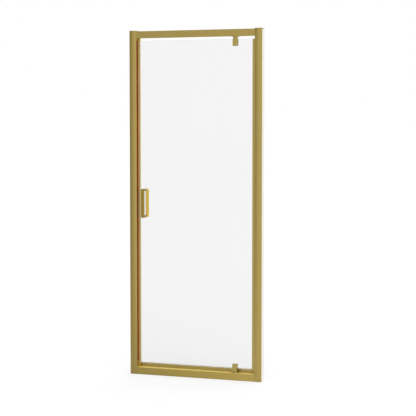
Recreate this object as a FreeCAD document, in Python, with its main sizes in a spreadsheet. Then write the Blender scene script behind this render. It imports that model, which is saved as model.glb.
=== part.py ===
"""An inset pivot shower door for a recess: a gold aluminium frame, one glass panel on a top and a
bottom pivot, seals, pivot clamps and a pair of pull handles.

X runs along the width, with the handle at -X and the pivots towards +X. -Y is the outside, where
the door opens to, and +Z is up. The origin is the middle of the threshold's underside.
"""

import FreeCAD, Part
import Sketcher
import os

from FreeCAD import Rotation, Vector

doc = FreeCAD.newDocument("PivotShowerDoor")
sheet = doc.addObject("Spreadsheet::Sheet", "Sizes")


# ---------------------------------------------------------------- sizes


class Size:
    """A length or count that carries both its value and the sheet expression behind it."""

    def __init__(self, value, text):
        self.value = value
        self.text = text

    def join(self, sign, other, value):
        return Size(value, "({} {} {})".format(self.text, sign, as_size(other).text))

    def __add__(self, other):
        return self.join("+", other, self.value + as_size(other).value)

    def __sub__(self, other):
        return self.join("-", other, self.value - as_size(other).value)

    def __mul__(self, other):
        return self.join("*", other, self.value * as_size(other).value)

    def __truediv__(self, other):
        return self.join("/", other, self.value / as_size(other).value)

    def __neg__(self):
        return Size(-self.value, "(-1 * {})".format(self.text))

    __radd__ = __add__
    __rmul__ = __mul__


def as_size(number):
    return number if isinstance(number, Size) else Size(float(number), repr(float(number)))


def size(alias, value, note):
    """Writes one driving dimension into the next row of the sheet."""
    size.row += 1
    sheet.set("A{}".format(size.row), note)
    sheet.set("B{}".format(size.row), str(value))
    sheet.setAlias("B{}".format(size.row), alias)
    return Size(float(value), "Sizes.{}".format(alias))


size.row = 0

# The whole door.
overall_width = size("overall_width", 800, "wall to wall")
overall_height = size("overall_height", 2000, "floor to the top of the caps")
frame_depth = size("frame_depth", 45, "front of the jambs to their back")
pivot_inset = size("pivot_inset", 160, "pivot axis from the hinge-side wall")
fit_gap = size("fit_gap", 0.3, "play between pieces that slide together")
screw_gap = size("screw_gap", 0.05, "play of a screw in its own thread")
hole_gap = size("hole_gap", 0.4, "play of a screw in a clearance hole")

# Frame profiles.
face_width = size("face_width", 43.5, "jamb face")
face_bulge = size("face_bulge", 2.5, "rise of the jamb's curved front")
profile_wall = size("profile_wall", 1.8, "wall of the frame profiles")
profile_round = size("profile_round", 1.5, "rounding of a profile's edges")
jamb_chamber = size("jamb_chamber", 10.5, "jamb's closed chamber with both its walls")
channel_clear = size("channel_clear", 3, "wall channel short of the jamb's chamber")
channel_short = size("channel_short", 1, "wall channel below the top of the jamb")
cap_thick = size("cap_thick", 3.5, "top cap above the jamb")
cap_plug = size("cap_plug", 9, "top cap inside the jamb")
rail_height = size("rail_height", 41, "top rail")
rail_setback = size("rail_setback", 2.5, "rails behind the jambs' front")
rail_round = size("rail_round", 1.2, "top rail's front edges")
threshold_height = size("threshold_height", 42, "threshold to its ledge")
threshold_round = size("threshold_round", 2, "threshold's front top edge")
ledge_wall = size("ledge_wall", 3.5, "top wall of the threshold")
port_radius = size("port_radius", 3.4, "screw port in the rails")
port_spread = size("port_spread", 24, "between the two screw ports of a rail")

# Fixings of the frame.
wall_hole_count = size("wall_hole_count", 4, "screw holes in a wall channel")
wall_hole_radius = size("wall_hole_radius", 2.75, "screw hole in a wall channel")
wall_hole_margin = size("wall_hole_margin", 160, "first and last hole from the channel's ends")
small_screw = size("small_screw", 2, "radius of the frame and clamp screws")
small_head = size("small_head", 3.6, "radius of their heads")
small_head_height = size("small_head_height", 2.2, "height of their heads")
corner_screw_reach = size("corner_screw_reach", 18, "corner screw inside the rail")
jamb_screw_reach = size("jamb_screw_reach", 11, "jamb screw below its head")
jamb_screw_margin = size("jamb_screw_margin", 210, "first and last jamb screw from the ends")
jamb_screw_inset = size("jamb_screw_inset", 16, "jamb screws from the wall")
screw_cap_radius = size("screw_cap_radius", 6, "cover over a jamb screw")
screw_cap_height = size("screw_cap_height", 3.6, "its height")
screw_cap_wall = size("screw_cap_wall", 1.2, "its wall")

# Closing side and threshold strip.
strike_width = size("strike_width", 12, "strike profile into the opening")
strike_depth = size("strike_depth", 15, "strike profile front to back")
strike_wall = size("strike_wall", 1.5, "its wall")
strike_setback = size("strike_setback", 25, "its front behind the jambs' front")
strip_width = size("strip_width", 8, "magnetic strip")
strip_thick = size("strip_thick", 2.6, "its thickness")
strip_proud = size("strip_proud", 0.6, "it stands out of the strike profile")
bar_height = size("bar_height", 23, "water bar above the ledge")
bar_thick = size("bar_thick", 4, "water bar")
bar_tongue = size("bar_tongue", 2, "its tongue in the ledge")

# Glass and seals.
glass_thick = size("glass_thick", 6, "glass")
glass_setback = size("glass_setback", 16, "glass centre behind the jambs' front")
glass_arris = size("glass_arris", 0.5, "bevel on the glass's edges")
side_gap = size("side_gap", 1.2, "door to jamb, on each side")
top_gap = size("top_gap", 14.5, "glass below the top rail")
bottom_gap = size("bottom_gap", 28, "glass above the ledge")
seal_web = size("seal_web", 2.4, "closing seal beside the glass")
seal_lip = size("seal_lip", 1, "its lips on the glass")
seal_front_leg = size("seal_front_leg", 1.4, "its front lip over the glass")
seal_back_leg = size("seal_back_leg", 6.4, "its back lip over the glass")
seal_drop = size("seal_drop", 16, "its foot below the glass")
channel_web = size("channel_web", 2, "edge channel beside the glass")
channel_wall = size("channel_wall", 1.5, "edge channel on the glass")
channel_grip = size("channel_grip", 12, "edge channel over the glass")
drip_height = size("drip_height", 10, "drip seal")
drip_drop = size("drip_drop", 4, "drip seal below the glass")
drip_wall = size("drip_wall", 1.2, "drip seal's wall")

# Pivot clamps.
clamp_width = size("clamp_width", 27, "pivot clamp")
clamp_height = size("clamp_height", 41, "pivot clamp")
plate_thick = size("plate_thick", 10, "each clamp plate")
clamp_round = size("clamp_round", 1.5, "clamp plate's edges")
gasket_thick = size("gasket_thick", 1, "gasket on the glass")
gasket_margin = size("gasket_margin", 0.8, "gasket inside the clamp's edge")
clamp_over = size("clamp_over", 2, "top clamp above the glass")
clamp_clearance = size("clamp_clearance", 11, "bottom clamp to the ledge")
core_width = size("core_width", 13, "pivot core")
core_depth = size("core_depth", 16, "pivot core")
core_length = size("core_length", 34, "pivot core")
notch_gap = size("notch_gap", 1, "glass notch round the core")
bush_wall = size("bush_wall", 1.4, "bush")
bush_length = size("bush_length", 17, "bush")
clamp_screw_end = size("clamp_screw_end", 4.6, "clamp screw from the core's inner end")
clamp_screw_pitch = size("clamp_screw_pitch", 8.4, "between the clamp screws")
clamp_screw_skin = size("clamp_screw_skin", 3, "clamp's front left over its screws")

# Pivots.
pin_radius = size("pin_radius", 4, "pivot pin")
pin_play = size("pin_play", 0.05, "pin in its bush, each side")
pin_reach = size("pin_reach", 15, "pin inside its bush")
collar_wide = size("collar_wide", 13, "collar at the frame")
collar_narrow = size("collar_narrow", 12.6, "collar at the clamp")
washer_thick = size("washer_thick", 1.4, "thrust washer")
rest_gap = size("rest_gap", 0.3, "clamp to collar or washer")
anchor_length = size("anchor_length", 60, "anchor block inside a rail")
anchor_depth = size("anchor_depth", 22, "anchor block")
anchor_height = size("anchor_height", 18, "anchor block")
anchor_screw_spread = size("anchor_screw_spread", 40, "between the anchor screws")
anchor_screw_reach = size("anchor_screw_reach", 14, "anchor screw below its head")

# Handles.
handle_centre = size("handle_centre", 1004, "handle above the floor")
handle_inset = size("handle_inset", 89.5, "handle from the closing-side wall")
handle_height = size("handle_height", 168, "handle")
handle_width = size("handle_width", 19, "handle")
handle_bar = size("handle_bar", 13, "thickness of the handle's bar")
handle_reach = size("handle_reach", 41, "handle from the glass")
handle_bend = size("handle_bend", 10, "outer bend of the bar")
handle_inner_bend = size("handle_inner_bend", 3, "inner bend of the bar")
handle_edge = size("handle_edge", 3, "rounding of the bar's edges")
handle_pad = size("handle_pad", 1, "gasket between handle and glass")
handle_pad_margin = size("handle_pad_margin", 2, "gasket inside the leg's edge")
stud_radius = size("stud_radius", 3, "stud through the glass")
stud_reach = size("stud_reach", 24, "stud into each handle")
sleeve_radius = size("sleeve_radius", 5.4, "sleeve in the glass")
grub_radius = size("grub_radius", 2, "grub screw")

sheet.recompute()


# ---------------------------------------------------------------- places

# Planes of the frame, seen from the origin.
channel_pocket = face_width - jamb_chamber
channel_leg = channel_pocket - channel_clear
front = -frame_depth / 2
back = frame_depth / 2
wall_x = overall_width / 2
jamb_x = wall_x - face_width
jamb_top = overall_height - cap_thick
rail_front = front + rail_setback
rail_bottom = jamb_top - rail_height
ledge = threshold_height
pocket_front = front + face_bulge + profile_wall
pocket_back = back - profile_wall
cavity_front = rail_front + profile_wall
cavity_back = back - profile_wall
port_inset = profile_wall + port_radius - fit_gap

# Planes of the door.
glass_y = front + glass_setback
glass_front = glass_y - glass_thick / 2
glass_back = glass_y + glass_thick / 2
glass_top = rail_bottom - top_gap
glass_bottom = ledge + bottom_gap
seal_outer = -jamb_x + side_gap
glass_left = seal_outer + seal_web
channel_outer = jamb_x - side_gap
glass_right = channel_outer - channel_web
strike_front = front + strike_setback
strike_inner = -jamb_x + strike_width
strip_front = strike_front - strip_proud
pivot_x = wall_x - pivot_inset
plate_front = glass_front - gasket_thick
plate_back = glass_back + gasket_thick
handle_x = -wall_x + handle_inset
leg_offset = (handle_height - handle_bar) / 2


# ---------------------------------------------------------------- building blocks

NORMALS = {"XY_Plane": 1, "XZ_Plane": -1, "YZ_Plane": 1}
sub_parts = []


def keep(piece, name):
    """Gives a finished sub-part its name."""
    piece.Label = name
    sub_parts.append(piece)
    return piece


def bind(thing, **sizes):
    """Ties properties to the sheet: Length=width becomes an expression on Length."""
    for name, value in sizes.items():
        thing.setExpression(name, as_size(value).text)


def place(thing, x=0, y=0, z=0, rotation=None):
    """Stands a piece at x, y, z, tied to the sheet, after turning it."""
    thing.Placement = FreeCAD.Placement(Vector(0, 0, 0), rotation or Rotation())
    for axis, value in (("x", x), ("y", y), ("z", z)):
        thing.setExpression("Placement.Base." + axis, as_size(value).text)


def body(name):
    return keep(doc.addObject("PartDesign::Body", name + "_body"), name)


def sketch(owner, role, height):
    """A sketch parallel to one of the body's origin planes, at the given height above it."""
    drawn = owner.newObject("Sketcher::SketchObject", owner.Label + "_sketch")
    planes = [plane for plane in owner.Origin.OriginFeatures if plane.Role == role]
    drawn.AttachmentSupport = (planes[0], [""])
    drawn.MapMode = "FlatFace"
    drawn.setExpression("AttachmentOffset.Base.z", (as_size(height) * NORMALS[role]).text)
    return drawn


def locate(drawn, geometry, end, x, y):
    """Fixes one end of a sketch element at x, y."""
    for kind, value in (("DistanceX", as_size(x)), ("DistanceY", as_size(y))):
        index = drawn.addConstraint(Sketcher.Constraint(kind, -1, 1, geometry, end, value.value))
        drawn.setExpression("Constraints[{}]".format(index), value.text)


def outline(drawn, corners, arc=None):
    """A closed outline through the corners. arc = (first corner, radius) bows that side."""
    points = [Vector(as_size(x).value, as_size(y).value, 0) for x, y in corners]
    for index, start in enumerate(points):
        end = points[(index + 1) % len(points)]
        if arc and arc[0] == index:
            geometry = bowed_side(drawn, start, end, arc[1])
        else:
            geometry = drawn.addGeometry(Part.LineSegment(start, end))
        drawn_ends = arc_ends(drawn, geometry, start)
        locate(drawn, geometry, drawn_ends[0], *corners[index])
        locate(drawn, geometry, drawn_ends[1], *corners[(index + 1) % len(points)])


def bowed_side(drawn, start, end, radius):
    """An arc from start to end that bows towards -Y."""
    half = (end - start).Length / 2
    middle = (start + end) * 0.5
    rise = radius.value - (radius.value**2 - half**2) ** 0.5
    through = middle - Vector(0, rise, 0)
    geometry = drawn.addGeometry(Part.Arc(start, through, end))
    index = drawn.addConstraint(Sketcher.Constraint("Radius", geometry, radius.value))
    drawn.setExpression("Constraints[{}]".format(index), radius.text)
    return geometry


def arc_ends(drawn, geometry, start):
    """Which end of the element lies at start, and which at the other corner."""
    here = drawn.getPoint(geometry, 1)
    return (1, 2) if (here - start).Length < 0.01 else (2, 1)


def circles(drawn, centres, radius):
    """Circles of one radius."""
    for x, y in centres:
        centre = Vector(as_size(x).value, as_size(y).value, 0)
        geometry = drawn.addGeometry(Part.Circle(centre, Vector(0, 0, 1), as_size(radius).value))
        locate(drawn, geometry, 3, x, y)
        index = drawn.addConstraint(Sketcher.Constraint("Radius", geometry, as_size(radius).value))
        drawn.setExpression("Constraints[{}]".format(index), as_size(radius).text)


def pad(owner, role, start, end, draw, *shape):
    """Adds a prism from start to end along the plane's axis. draw fills in its sketch."""
    low = start if NORMALS[role] > 0 else end
    drawn = sketch(owner, role, low)
    draw(drawn, *shape)
    feature = owner.newObject("PartDesign::Pad", owner.Label + "_pad")
    feature.Profile = drawn
    bind(feature, Length=end - start)
    doc.recompute()
    return feature


def cut(owner, role, start, end, draw, *shape):
    """Cuts a prism from start to end along the plane's axis, and checks that it cut."""
    before = owner.Shape.Volume
    high = end if NORMALS[role] > 0 else start
    drawn = sketch(owner, role, high)
    draw(drawn, *shape)
    feature = owner.newObject("PartDesign::Pocket", owner.Label + "_cut")
    feature.Profile = drawn
    bind(feature, Length=end - start)
    doc.recompute()
    if owner.Shape.Volume > before - 1e-3:
        raise ValueError(owner.Label + ": a pocket cut nothing")
    return feature


def revolve(owner, corners):
    """A turned piece about its own Z axis, from a half section in X and Z."""
    drawn = sketch(owner, "XZ_Plane", 0)
    outline(drawn, corners)
    feature = owner.newObject("PartDesign::Revolution", owner.Label + "_turned")
    feature.Profile = drawn
    feature.ReferenceAxis = (drawn, ["V_Axis"])
    feature.Angle = 360
    doc.recompute()
    return feature


def box_corners(x0, x1, y0, y1):
    return [(x0, y0), (x1, y0), (x1, y1), (x0, y1)]


def row(feature, owner, axis, length, count):
    """Repeats a feature in a row along X, Y or Z of the body."""
    lines = [line for line in owner.Origin.OriginFeatures if line.Role == axis + "_Axis"]
    pattern = owner.newObject("PartDesign::LinearPattern", owner.Label + "_row")
    pattern.Originals = [feature]
    pattern.Direction = (lines[0], [""])
    bind(pattern, Length=length, Occurrences=count)
    owner.Tip = pattern
    doc.recompute()
    return pattern


def edges_where(owner, test):
    """Names of the edges whose two ends, as vectors, pass the test."""
    names = []
    for index, edge in enumerate(owner.Shape.Edges):
        if len(edge.Vertexes) == 2 and test(edge.Vertexes[0].Point, edge.Vertexes[1].Point):
            names.append("Edge{}".format(index + 1))
    if not names:
        raise ValueError(owner.Label + ": no edge to round")
    return names


def round_edges(owner, radius, test, kind="Fillet"):
    """Rounds, or with kind Chamfer bevels, the edges that pass the test."""
    names = edges_where(owner, test)
    tip = owner.Tip
    feature = owner.newObject("PartDesign::" + kind, owner.Label + "_" + kind.lower())
    feature.Base = (tip, names)
    bind(feature, **{"Radius" if kind == "Fillet" else "Size": radius})
    doc.recompute()
    return feature


def along(axis, **at):
    """A test for edges along an axis that lie at the given places on the other axes."""

    def test(a, b):
        run = b - a
        if abs(getattr(run, axis)) < 0.99 * run.Length:
            return False
        for name, places in at.items():
            values = [as_size(value).value for value in places]
            if min(abs(getattr(a, name) - value) for value in values) > 0.01:
                return False
        return True

    return test


def plain_box(name, x, y, z):
    """A block between pairs of places on X, Y and Z."""
    block = doc.addObject("Part::Box", name)
    bind(block, Length=x[1] - x[0], Width=y[1] - y[0], Height=z[1] - z[0])
    place(block, x[0], y[0], z[0])
    return block


def without(name, base, tool):
    """One solid less another."""
    result = doc.addObject("Part::Cut", name)
    result.Base = base
    result.Tool = tool
    return result


def group(name, members):
    """Like pieces that share one node, each still a solid of its own."""
    result = doc.addObject("Part::Compound", name + "_group")
    result.Links = members
    return keep(result, name)


# Turns that point a piece's top end the named way. A screw's head is its top end.
TO_PLUS_X = Rotation(Vector(0, 1, 0), 90)
TO_MINUS_X = Rotation(Vector(0, 1, 0), -90)
TO_PLUS_Y = Rotation(Vector(1, 0, 0), -90)
UP = Rotation()
DOWN = Rotation(Vector(1, 0, 0), 180)


def screw(name, reach, rotation, x, y, z, sunk=False):
    """A small screw with the underside of its head at x, y, z. A sunk one has its cone's rim there."""
    shank = doc.addObject("Part::Cylinder", name + "_shank")
    bind(shank, Radius=small_screw, Height=reach - small_screw)
    place(shank, z=-(reach - small_screw))
    tip = doc.addObject("Part::Cone", name + "_tip")
    bind(tip, Radius1=small_screw * 0.3, Radius2=small_screw, Height=small_screw)
    place(tip, z=-reach)
    if sunk:
        head = doc.addObject("Part::Cone", name + "_head")
        bind(head, Radius1=small_screw, Radius2=small_head, Height=small_head_height)
        place(head, z=-small_head_height)
    else:
        head = doc.addObject("Part::Cylinder", name + "_head")
        bind(head, Radius=small_head, Height=small_head_height)
    recess = doc.addObject("Part::Prism", name + "_recess")
    recess.Polygon = 6
    bind(recess, Circumradius=small_screw * 0.7, Height=small_head_height / 2)
    place(recess, z=-small_head_height / 2 if sunk else small_head_height / 2)
    whole = doc.addObject("Part::MultiFuse", name + "_whole")
    whole.Shapes = [shank, tip, head]
    result = without(name, whole, recess)
    place(result, x, y, z, rotation)
    return result


# ---------------------------------------------------------------- frame


def wall_channel(side, name):
    """The channel screwed to the wall, which the jamb slides over."""
    piece = body("wall_channel_" + name)
    web = wall_x - profile_wall
    leg = wall_x - channel_leg
    y0 = pocket_front + fit_gap
    y1 = pocket_back - fit_gap
    section = [(wall_x, y0), (wall_x, y1), (leg, y1), (leg, y1 - profile_wall)]
    section += [(web, y1 - profile_wall), (web, y0 + profile_wall)]
    section += [(leg, y0 + profile_wall), (leg, y0)]
    top = jamb_top - channel_short
    pad(piece, "XY_Plane", as_size(0), top, outline, [(side * x, y) for x, y in section])
    low, high = sorted((side * wall_x, side * web), key=lambda place: place.value)
    first = [(as_size(0), wall_hole_margin)]
    hole = cut(piece, "YZ_Plane", low, high, circles, first, wall_hole_radius)
    row(hole, piece, "Z", top - wall_hole_margin * 2, wall_hole_count)
    inset = side * (wall_x - jamb_screw_inset)
    pilots = [(inset, z) for z in jamb_screw_heights()]
    pilot = small_screw + screw_gap
    cut(piece, "XZ_Plane", y1 - profile_wall, y1, circles, pilots, pilot)


def jamb_screw_heights():
    """Heights of the three screws that lock a jamb to its wall channel."""
    top = jamb_top - jamb_screw_margin
    return [jamb_screw_margin, (jamb_screw_margin + top) / 2, top]


def jamb_radius():
    """Radius of the jamb's curved front, from its chord and rise."""
    half = face_width / 2
    return (half * half + face_bulge * face_bulge) / (face_bulge * 2)


def corner_screw_places():
    """Y and Z of the corner screws, two in the threshold and two in the top rail."""
    low = port_inset
    high = jamb_top - port_inset
    return [(y, z) for z in (low, high) for y in (-port_spread / 2, port_spread / 2)]


def jamb(side, name):
    """An upright: a curved front, a pocket open to the wall and a closed chamber."""
    piece = body("jamb_" + name)
    shoulder = front + face_bulge
    web = wall_x - channel_pocket
    section = [(wall_x, shoulder), (jamb_x, shoulder), (jamb_x, back), (wall_x, back)]
    section += [(wall_x, pocket_back), (web, pocket_back), (web, pocket_front), (wall_x, pocket_front)]
    arc = (0, jamb_radius())
    pad(piece, "XY_Plane", as_size(0), jamb_top, outline, [(side * x, y) for x, y in section], arc)
    chamber_x = (side * (web - profile_wall), side * (jamb_x + profile_wall))
    chamber = box_corners(*chamber_x, pocket_front, pocket_back)
    cut(piece, "XY_Plane", as_size(0), jamb_top, outline, chamber)
    low, high = sorted((side * web, side * jamb_x), key=lambda place: place.value)
    hole = small_screw + hole_gap
    cut(piece, "YZ_Plane", low, high, circles, corner_screw_places(), hole)
    inset = side * (wall_x - jamb_screw_inset)
    through = [(inset, z) for z in jamb_screw_heights()]
    cut(piece, "XZ_Plane", pocket_back, back, circles, through, hole)
    front_edges = along("z", x=(side * jamb_x, side * wall_x), y=(shoulder,))
    round_edges(piece, profile_round, front_edges)
    round_edges(piece, profile_round, along("z", x=(side * jamb_x,), y=(back,)))


def jamb_cap(side, name):
    """The moulded cap on top of an upright, with two plugs that hold it."""
    piece = body("jamb_cap_" + name)
    shoulder = front + face_bulge
    face = [(wall_x, shoulder), (jamb_x, shoulder), (jamb_x, back), (wall_x, back)]
    arc = (0, jamb_radius())
    pad(piece, "XY_Plane", jamb_top, overall_height, outline, [(side * x, y) for x, y in face], arc)
    web = wall_x - channel_pocket
    beside_screws = port_spread / 2 - small_head - fit_gap
    chamber = (web - profile_wall - fit_gap, jamb_x + profile_wall + fit_gap)
    plug = box_corners(side * chamber[0], side * chamber[1], -beside_screws, beside_screws)
    pad(piece, "XY_Plane", jamb_top - cap_plug, jamb_top, outline, plug)
    pocket = web + channel_clear + fit_gap
    inside = profile_wall + fit_gap * 2
    plug_x = (side * (pocket + cap_plug), side * pocket)
    plug = box_corners(*plug_x, pocket_front + inside, pocket_back - inside)
    pad(piece, "XY_Plane", jamb_top - cap_plug, jamb_top, outline, plug)
    front_edges = along("z", x=(side * jamb_x, side * wall_x), y=(shoulder,))
    round_edges(piece, profile_round, front_edges)
    round_edges(piece, profile_round, along("z", x=(side * jamb_x,), y=(back,)))


def rail(name, bottom, top, roof, floor, port_wall):
    """A hollow rail between the jambs, with two screw ports on its outer wall.

    roof and floor are the thicknesses of its top and bottom walls. port_wall is the height of the
    ports' centres.
    """
    piece = body(name)
    section = box_corners(rail_front, back, bottom, top)
    pad(piece, "YZ_Plane", -jamb_x, jamb_x, outline, section)
    cavity = box_corners(cavity_front, cavity_back, bottom + floor, top - roof)
    cut(piece, "YZ_Plane", -jamb_x, jamb_x, outline, cavity)
    ports = [(-port_spread / 2, port_wall), (port_spread / 2, port_wall)]
    pad(piece, "YZ_Plane", -jamb_x, jamb_x, circles, ports, port_radius)
    cut(piece, "YZ_Plane", -jamb_x, jamb_x, circles, ports, small_screw + screw_gap)
    return piece


def anchor_screw_x():
    """X of the two screws that hold a pivot anchor."""
    return [pivot_x - anchor_screw_spread / 2, pivot_x + anchor_screw_spread / 2]


def drill_pivot(piece, low, high):
    """The pin's hole and the anchor screws' holes through a rail's wall."""
    centre = [(pivot_x, glass_y)]
    cut(piece, "XY_Plane", low, high, circles, centre, pin_radius + hole_gap)
    sides = [(x, glass_y) for x in anchor_screw_x()]
    cut(piece, "XY_Plane", low, high, circles, sides, small_screw + hole_gap)


def top_rail():
    port_z = jamb_top - port_inset
    piece = rail("top_rail", rail_bottom, jamb_top, profile_wall, profile_wall, port_z)
    drill_pivot(piece, rail_bottom, rail_bottom + profile_wall)
    round_edges(piece, rail_round, along("x", y=(rail_front,), z=(rail_bottom, jamb_top)))
    round_edges(piece, profile_round, along("x", y=(back,), z=(rail_bottom, jamb_top)))


def threshold_rail():
    """The bottom rail: a rounded ledge with a groove for the water bar at its back."""
    piece = rail("threshold_rail", as_size(0), ledge, ledge_wall, profile_wall, port_inset)
    drill_pivot(piece, ledge - ledge_wall, ledge)
    groove = box_corners(back - bar_thick, back - bar_thick / 2, ledge - bar_tongue, ledge)
    cut(piece, "YZ_Plane", -jamb_x, jamb_x, outline, groove)
    round_edges(piece, threshold_round, along("x", y=(rail_front,), z=(ledge,)))
    round_edges(piece, profile_round, along("x", y=(back,), z=(ledge,)))


def water_bar():
    """The upright strip along the back of the ledge that keeps the water in."""
    piece = body("water_bar")
    y0 = back - bar_thick
    tongue = back - bar_thick / 2 - fit_gap / 2
    foot = ledge - bar_tongue
    section = [(y0 + fit_gap / 2, foot), (tongue, foot), (tongue, ledge), (back, ledge)]
    section += [(back, ledge + bar_height), (y0, ledge + bar_height)]
    section += [(y0, ledge), (y0 + fit_gap / 2, ledge)]
    pad(piece, "YZ_Plane", -jamb_x, jamb_x, outline, section)
    round_edges(piece, bar_thick * 0.3, along("x", y=(y0, back), z=(ledge + bar_height,)))


def strike_profile():
    """The hollow profile behind the glass edge that the closed door rests on."""
    piece = body("strike_profile")
    depth_end = strike_front + strike_depth
    section = box_corners(-jamb_x, strike_inner, strike_front, depth_end)
    pad(piece, "XY_Plane", ledge, rail_bottom, outline, section)
    middle = (strike_inner - jamb_x) / 2
    slot_back = strip_front + strip_thick + fit_gap
    slot = box_corners(middle - strip_width / 2, middle + strip_width / 2, strike_front, slot_back)
    cut(piece, "XY_Plane", ledge, rail_bottom, outline, slot)
    hollow_front = slot_back + strike_wall
    hollow_x = (-jamb_x + strike_wall, strike_inner - strike_wall)
    hollow = box_corners(*hollow_x, hollow_front, depth_end - strike_wall)
    cut(piece, "XY_Plane", ledge, rail_bottom, outline, hollow)
    round_edges(piece, profile_round * 0.5, along("z", x=(strike_inner,), y=(strike_front, depth_end)))


def strike_magnetic_strip():
    middle = (strike_inner - jamb_x) / 2
    half = strip_width / 2 - fit_gap / 2
    x = (middle - half, middle + half)
    y = (strip_front, strip_front + strip_thick)
    keep(plain_box("strip_block", x, y, (glass_bottom, glass_top)), "strike_magnetic_strip")


def corner_screws():
    """Two screws at each end of both rails, put in through the jambs."""
    head_x = wall_x - channel_pocket
    reach = face_width - channel_pocket + corner_screw_reach
    screws = []
    for side, rotation in ((-1, TO_MINUS_X), (1, TO_PLUS_X)):
        for y, z in corner_screw_places():
            name = "corner_screw_{}".format(len(screws) + 1)
            screws.append(screw(name, reach, rotation, side * head_x, y, z))
    group("corner_screws", screws)


def jamb_screws():
    """The screws that lock each jamb to its wall channel, and the caps over them."""
    screws = []
    caps = []
    for side in (-1, 1):
        for z in jamb_screw_heights():
            x = side * (wall_x - jamb_screw_inset)
            number = len(screws) + 1
            screws.append(screw("jamb_screw_{}".format(number), jamb_screw_reach, TO_PLUS_Y, x, back, z))
            caps.append(screw_cap("screw_cap_{}".format(number), x, back, z))
    group("jamb_screws", screws)
    group("jamb_screw_caps", caps)


def screw_cap(name, x, y, z):
    """A shallow domed cup over a screw head."""
    dome = doc.addObject("Part::Cone", name + "_dome")
    bind(dome, Radius1=screw_cap_radius, Radius2=screw_cap_radius * 0.7, Height=screw_cap_height)
    hollow = doc.addObject("Part::Cylinder", name + "_hollow")
    inner = small_head + fit_gap
    bind(hollow, Radius=inner, Height=screw_cap_height - screw_cap_wall)
    result = without(name, dome, hollow)
    place(result, x, y, z, TO_PLUS_Y)
    return result


# ---------------------------------------------------------------- pivots, fixed side


def pivot_pin(name, low, high):
    """A steel pin with bevelled ends."""
    piece = body(name)
    bevel = pin_radius * 0.2
    section = [(as_size(0), low), (pin_radius - bevel, low), (pin_radius, low + bevel)]
    section += [(pin_radius, high - bevel), (pin_radius - bevel, high), (as_size(0), high)]
    revolve(piece, section)
    place(piece, pivot_x, glass_y)


def collar(name, wide_z, narrow_z):
    """The tapered collar between a rail and a clamp."""
    piece = body(name)
    bore = pin_radius + screw_gap
    revolve(piece, [(bore, wide_z), (collar_wide, wide_z), (collar_narrow, narrow_z), (bore, narrow_z)])
    place(piece, pivot_x, glass_y)


def anchor(name, low, high):
    """The block inside a rail that holds a pin upright."""
    piece = body(name)
    half = anchor_length / 2
    y0 = cavity_front + fit_gap
    section = box_corners(pivot_x - half, pivot_x + half, y0, y0 + anchor_depth)
    pad(piece, "XY_Plane", low, high, outline, section)
    cut(piece, "XY_Plane", low, high, circles, [(pivot_x, glass_y)], pin_radius + screw_gap)
    sides = [(x, glass_y) for x in anchor_screw_x()]
    cut(piece, "XY_Plane", low, high, circles, sides, small_screw + screw_gap)
    x_ends = (pivot_x - half, pivot_x + half)
    round_edges(piece, profile_round, along("z", x=x_ends, y=(y0, y0 + anchor_depth)))


def fixed_pivots():
    """Pins, collars, anchors and their screws at both rails."""
    floor = rail_bottom + profile_wall
    anchor("top_pivot_anchor", floor, floor + anchor_height)
    collar("top_pivot_collar", rail_bottom, top_clamp_end() + rest_gap)
    pivot_pin("top_pivot_pin", top_clamp_end() - pin_reach, floor + anchor_height)
    roof = ledge - ledge_wall
    anchor("bottom_pivot_anchor", roof - anchor_height, roof)
    washer_top = bottom_clamp_end() - rest_gap
    collar("bottom_pivot_collar", ledge, washer_top - washer_thick)
    pivot_pin("bottom_pivot_pin", roof - anchor_height, bottom_clamp_end() + pin_reach)
    thrust_washer(washer_top - washer_thick, washer_top)
    for name, z, rotation in (("top", rail_bottom, DOWN), ("bottom", ledge, UP)):
        screws = []
        for x in anchor_screw_x():
            number = len(screws) + 1
            label = "{}_anchor_screw_{}".format(name, number)
            screws.append(screw(label, anchor_screw_reach, rotation, x, glass_y, z))
        group(name + "_anchor_screws", screws)


def thrust_washer(low, high):
    piece = body("thrust_washer")
    bore = pin_radius + screw_gap
    rim = collar_narrow - fit_gap
    revolve(piece, [(bore, low), (rim, low), (rim, high), (bore, high)])
    place(piece, pivot_x, glass_y)


# ---------------------------------------------------------------- pivots, door side


def top_clamp_end():
    """Height of the top clamp's upper end."""
    return glass_top + clamp_over


def bottom_clamp_end():
    """Height of the bottom clamp's lower end."""
    return ledge + clamp_clearance


class ClampEnd:
    """Heights of one pivot clamp. up is 1 at the top of the door and -1 at the bottom."""

    def __init__(self, name, up, end, glass_edge):
        self.name = name
        self.up = up
        self.end = end
        self.glass_edge = glass_edge

    def inward(self, distance):
        """The height that lies this far from the clamp's outer end, towards the door's middle."""
        return self.end - distance * self.up

    def span(self, a, b):
        """Two heights, the lower first."""
        return (a, b) if a.value < b.value else (b, a)

    def screw_heights(self):
        last = core_length - clamp_screw_end
        return [self.inward(last), self.inward(last - clamp_screw_pitch)]


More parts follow.
